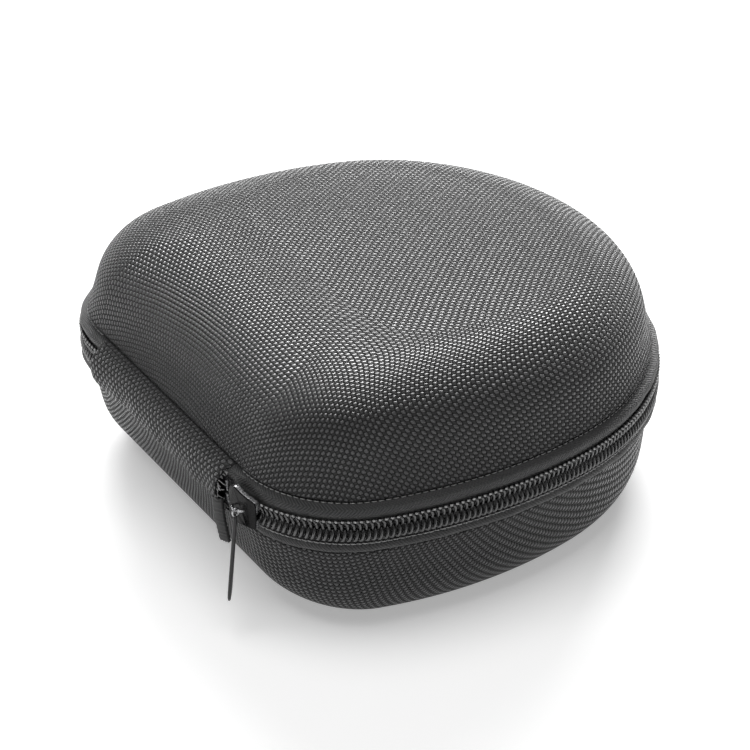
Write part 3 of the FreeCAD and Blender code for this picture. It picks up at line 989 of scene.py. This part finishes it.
def frayed_end():
    """Cut yarns that stick out of the hinge strip's near end."""
    chance = np.random.default_rng(11)
    path = band_path()
    paths = []
    for _ in range(46):
        start = path[chance.integers(4, 42)]
        length = chance.uniform(0.8, 2.8)
        drift = chance.normal(0.0, 0.45, 2)
        share = np.linspace(0.0, 1.0, 7)
        s = -BAND_HALF + 0.4 - share * length
        out = start[0] - 0.35 + (drift[0] - 0.3) * share ** 2 * length * 0.5
        up = start[1] + drift[1] * share ** 1.5 * length * 0.6 - 0.3 * share ** 2 * length
        paths.append(at(s, out, up))
    obj = tube_object("frayed_yarns", np.array(paths), 0.13, sides=5)
    finish_piece(obj, "sewing_thread", None)
    bend_at_hinge(obj)


# ---------------------------------------------------------------- slider and pull
def by_slider(along, out, up):
    """3D points beside the slider: along towards its tail, out from the crest, up from the split."""
    along = np.asarray(along, float)
    normal = heading(-(SLIDER_TURN + along / CORNER_R / DEG))
    point = np.array([-CORNER_C[0], CORNER_C[1]]) + normal * (CORNER_R + np.asarray(out, float))[..., None]
    return np.concatenate([point, (SPLIT_Z + np.asarray(up, float))[..., None]], axis=-1)


def plate(name, outline_points, outs, bevel):
    """A bevelled plate that follows the corner, from its (along, up) outline."""
    flat = np.asarray(outline_points, float)
    count = len(flat)
    sides = [by_slider(flat[:, 0], np.full(count, out), flat[:, 1]) for out in outs]
    faces = [tuple(range(count - 1, -1, -1)), tuple(range(count, 2 * count))]
    faces += [(i, (i + 1) % count, count + (i + 1) % count, count + i) for i in range(count)]
    obj = face_outward(make_object(name, np.concatenate(sides), faces))
    modifier = obj.modifiers.new("edge", "BEVEL")
    modifier.width = bevel * MM
    modifier.segments = 3
    modifier.limit_method = "ANGLE"
    modifier.angle_limit = 40.0 * DEG
    return obj


def applied(obj):
    """The object with its modifiers made real."""
    mesh = bpy.data.meshes.new_from_object(obj.evaluated_get(bpy.context.evaluated_depsgraph_get()))
    old = obj.data
    obj.modifiers.clear()
    obj.data = mesh
    bpy.data.meshes.remove(old)
    return obj


def joined(name, objects):
    """One object from several, with their modifiers applied."""
    work = bmesh.new()
    for obj in objects:
        applied(obj)
        work.from_mesh(obj.data)
    mesh = bpy.data.meshes.new(name)
    work.to_mesh(mesh)
    work.free()
    for obj in objects:
        bpy.data.objects.remove(obj)
    broad = 4.0 * MM * MM
    mesh.polygons.foreach_set("use_smooth", [face.area < broad for face in mesh.polygons])
    made = bpy.data.objects.new(name, mesh)
    bpy.context.scene.collection.objects.link(made)
    return made


def slider_outline(shrink=0.0):
    """A heart-like plan: broad shoulders at the nose, straight sides and a squarer tail."""
    half = rounded([
        (-6.2, 0.0), (-7.0, 2.2), (-6.9, 4.6), (-5.6, 6.4), (-3.4, 6.8),
        (0.0, 6.0), (3.4, 5.4), (6.6, 5.2), (7.2, 4.6), (7.2, 0.0)], 2, 30)
    full = np.concatenate([half, (half * (1, -1))[-2:0:-1]])
    return full * (1.0 - shrink / 7.0)


def slider():
    """Two plates joined by a post between the coils, with a plated flange along each side."""
    face = plate("slider_face", slider_outline(), FACE_OUT, 0.2)
    back = plate("slider_back", slider_outline(1.2), BACK_OUT, 0.3)
    wedge = [(-6.0, -0.45), (-2.6, -0.45), (-2.6, 0.45), (-6.0, 0.45)]
    post = plate("slider_post", wedge, POST_OUT, 0.15)
    flanges = []
    for sign in (1.0, -1.0):
        edge = slider_outline()[2:28] * (1.0, sign)
        inner = edge * (0.96, 0.86)
        ring = np.concatenate([edge * (0.99, 0.985), inner[::-1]])
        if sign < 0:
            ring = ring[::-1]
        flanges.append(plate(f"slider_flange{int(sign)}", ring, FLANGE_OUT, 0.15))
    obj = joined("slider", [face, back, post])
    finish_piece(obj, "slider_metal", "slider", "slider_body")
    finish_piece(joined("slider_flanges", flanges), "stop_metal", "slider")
    crown()


def crown():
    """The wire bridge on the slider's face that holds the pull's eye."""
    turn = np.linspace(-0.55, math.pi + 0.55, 30)
    flat = np.stack([2.6 * np.cos(turn), 1.2 + 2.3 * np.sin(turn)], axis=1)
    flat[:, 1] = np.maximum(flat[:, 1], 0.9)
    path = by_slider(-1.0 + flat[:, 0], flat[:, 1], np.zeros(len(flat)))
    obj = tube_object("slider_bridge", path, BRIDGE_R, sides=12)
    finish_piece(obj, "stop_metal", "slider", "slider_crown")


def pull():
    along = np.array([-math.cos(SLIDER_TURN * DEG), -math.sin(SLIDER_TURN * DEG), 0.0])
    outward = np.array([-math.sin(SLIDER_TURN * DEG), math.cos(SLIDER_TURN * DEG), 0.0])
    up = np.array([0.0, 0.0, 1.0])
    turn = np.linspace(0.0, 2.0 * math.pi, 40, endpoint=False)
    ring = PIVOT + outward * (1.25 * np.cos(turn))[:, None] + up * (-0.5 + 1.5 * np.sin(turn))[:, None]
    eye = tube_object("pull_ring", ring, EYE_R, sides=10, closed=True)
    finish_piece(eye, "stop_metal", "pull", "pull_eye")
    pull_tab(outward, along, up)


def squared_off(value):
    """Pushes a sine or cosine towards its ends, which squares a round section."""
    return np.sign(value) * np.abs(value) ** 0.55


def pull_tab(outward, along, up):
    """The thin moulded tab, turned a little edge-on, narrow at the eye and wider near its foot."""
    drop = np.concatenate([np.linspace(-1.7, -30.0, 30), np.linspace(-30.3, -33.4, 12)])
    places = [1.7, 4.0, 12.0, 24.0, 29.5, 31.5, 32.8, 33.4]
    half_width = np.interp(-drop, places, [0.75, 1.1, 1.7, 2.7, 2.95, 2.6, 1.6, 0.5])
    half_thick = np.interp(-drop, places, [0.55, 0.62, 0.66, 0.68, 0.68, 0.62, 0.5, 0.3])
    wide = along * math.cos(PULL_TWIST) + outward * math.sin(PULL_TWIST)
    thin = np.cross(up, wide)
    turn = np.arange(PULL_SIDES) * 2.0 * math.pi / PULL_SIDES
    across, through = squared_off(np.cos(turn))[:, None], squared_off(np.sin(turn))[:, None]
    points = []
    for z, w, t in zip(drop, half_width, half_thick):
        centre = PIVOT + up * z - outward * z * PULL_LEAN
        points.append(centre + wide * (w * across) + thin * (t * through))
    faces = grid_faces(len(drop), PULL_SIDES, closed_columns=True)
    faces.append(tuple(range(PULL_SIDES - 1, -1, -1)))
    faces.append(tuple(range((len(drop) - 1) * PULL_SIDES, len(drop) * PULL_SIDES)))
    obj = face_outward(make_object("pull_strip", np.concatenate(points), faces))
    finish_piece(obj, "pull_rubber", "pull", "pull_tab")


# ---------------------------------------------------------------- pocket
def knots():
    """The net's knots, where a flat diamond lattice falls on the lid's inner surface, by lattice place."""
    surface, uv = shell_surface("lid", NET_DEPTH)
    rows, columns = surface.shape[:2]
    cloth = np.concatenate([uv, np.zeros(uv.shape[:2] + (1,))], axis=-1).reshape(-1, 3)
    quads = grid_faces(rows, columns, closed_columns=True)
    triangles = [(a, b, c) for a, b, c, d in quads] + [(a, c, d) for a, b, c, d in quads]
    tree = BVHTree.FromPolygons(cloth.tolist(), triangles)
    flat = surface.reshape(-1, 3)
    step = NET_CELL / 2
    low, high = uv.reshape(-1, 2).min(0), uv.reshape(-1, 2).max(0)
    found_at = {}
    for i in range(int((high[0] - low[0]) / NET_CELL * 2) + 2):
        for j in range(i % 2, int((high[1] - low[1]) / NET_CELL * 2) + 2, 2):
            place = Vector((low[0] + i * step, low[1] + j * step, 0.0))
            found, _, face, distance = tree.find_nearest(place)
            if found is None or distance > 0.05:
                continue
            corners = triangles[face]
            where = barycentric_transform(
                found, *(Vector(cloth[k]) for k in corners), *(Vector(flat[k]) for k in corners))
            if where.y < POCKET_Y + 3.0:
                found_at[(i, j)] = where
    return found_at


def pocket():
    """The lid's pocket net, a diamond lattice of threads on the lid's inner surface. The flat area it
    declares is that of its cells, before they become threads.
    """
    found_at = knots()
    index = {place: number for number, place in enumerate(found_at)}
    faces = []
    for i, j in index:
        corners = [(i, j), (i + 1, j + 1), (i, j + 2), (i - 1, j + 1)]
        if all(corner in index for corner in corners):
            faces.append(tuple(index[corner] for corner in corners))
    obj = make_object("pocket_net", list(found_at.values()), faces)
    wire = obj.modifiers.new("threads", "WIREFRAME")
    wire.thickness = NET_THREAD * MM
    wire.use_even_offset = False
    applied(obj)
    finish_piece(obj, "mesh_net", "lid", "mesh_pocket_net")


def pocket_edges():
    """The net's bound edge along the rim, and the elastic hem across its mouth."""
    hinge_side = ((0, HEM_Y, 0), (0, 1, 0))
    front_side = ((0, POCKET_Y, 0), (0, -1, 0))
    below_rim = ((0, 0, LID_RIM_Z + 0.4), (0, 0, -1))
    edge = shell_band("pocket_edge", "lid", NET_EDGE, 0.4, 5.0)
    cut(edge, hinge_side)
    finish_piece(edge, "edge_binding", "lid", "pocket_edge_binding")
    hem = shell_layer("pocket_hem", "lid", NET_EDGE)
    cut(hem, hinge_side, front_side, below_rim)
    finish_piece(hem, "elastic_hem", "lid", "pocket_hem_elastic")


# ---------------------------------------------------------------- scene
def kept_parts():
    """The small metal stops keep the frame's own shape."""
    for name in ("tray_top_stop", "lid_top_stop", "zip_bottom_stop"):
        obj = frame["nodes"][name]
        obj.data.materials.clear()
        obj.data.materials.append(MATERIALS["stop_metal"])


def camera():
    data = bpy.data.cameras.new("camera")
    data.lens = CAMERA_LENS
    data.sensor_width = 36.0
    obj = bpy.data.objects.new("camera", data)
    bpy.context.scene.collection.objects.link(obj)
    level = math.cos(CAMERA_ELEVATION)
    back = Vector((
        math.sin(CAMERA_AZIMUTH) * level, -math.cos(CAMERA_AZIMUTH) * level, math.sin(CAMERA_ELEVATION)))
    right = Vector((math.cos(CAMERA_AZIMUTH), math.sin(CAMERA_AZIMUTH), 0.0))
    up = back.cross(right)
    target = Vector(CAMERA_TARGET) + right * CAMERA_RIGHT - up * CAMERA_DOWN
    turned = Matrix((right, up, back)).transposed().to_4x4()
    obj.matrix_world = Matrix.Translation(target + back * CAMERA_DISTANCE) @ turned
    bpy.context.scene.camera = obj


def area_light(name, place, aim, size, power):
    data = bpy.data.lights.new(name, "AREA")
    data.shape = "RECTANGLE"
    data.size, data.size_y = size
    data.energy = power
    obj = bpy.data.objects.new(name, data)
    bpy.context.scene.collection.objects.link(obj)
    obj.location = place
    obj.rotation_euler = (Vector(aim) - Vector(place)).to_track_quat("-Z", "Y").to_euler()


def studio():
    """A pale floor that glows a little, a key light from the front right, and one overhead."""
    reach, low = 4000, -0.2
    corners = [(-reach, -reach, low), (reach, -reach, low), (reach, reach, low), (-reach, reach, low)]
    floor = make_object("floor", corners, [(0, 1, 2, 3)], smooth=False)
    made, nodes = material("floor", (0.9, 0.9, 0.9), 0.8, specular=0.1)
    nodes.shader.inputs["Emission Color"].default_value = (1.0, 1.0, 1.0, 1.0)
    nodes.shader.inputs["Emission Strength"].default_value = FLOOR_GLOW
    floor.data.materials.append(made)
    world = bpy.data.worlds.new("world")
    bpy.context.scene.world = world
    world.use_nodes = True
    background = world.node_tree.nodes["Background"]
    background.inputs["Color"].default_value = (1.0, 1.0, 1.0, 1.0)
    background.inputs["Strength"].default_value = WORLD_GLOW
    area_light("key", (1.05, -0.66, 0.66), (0.0, 0.0, 0.04), (1.1, 0.8), 40.0)
    area_light("overhead", (-0.08, 0.3, 1.4), (0.0, 0.0, 0.0), (1.2, 1.2), 12.5)
    bpy.context.scene.view_settings.view_transform = "Standard"


camera()
studio()
shells()
bindings()
zip_tapes()
zip_coils()
stitches()
hinge_band()
hinge_lining()
loose_tail()
frayed_end()
slider()
pull()
pocket()
pocket_edges()
kept_parts()
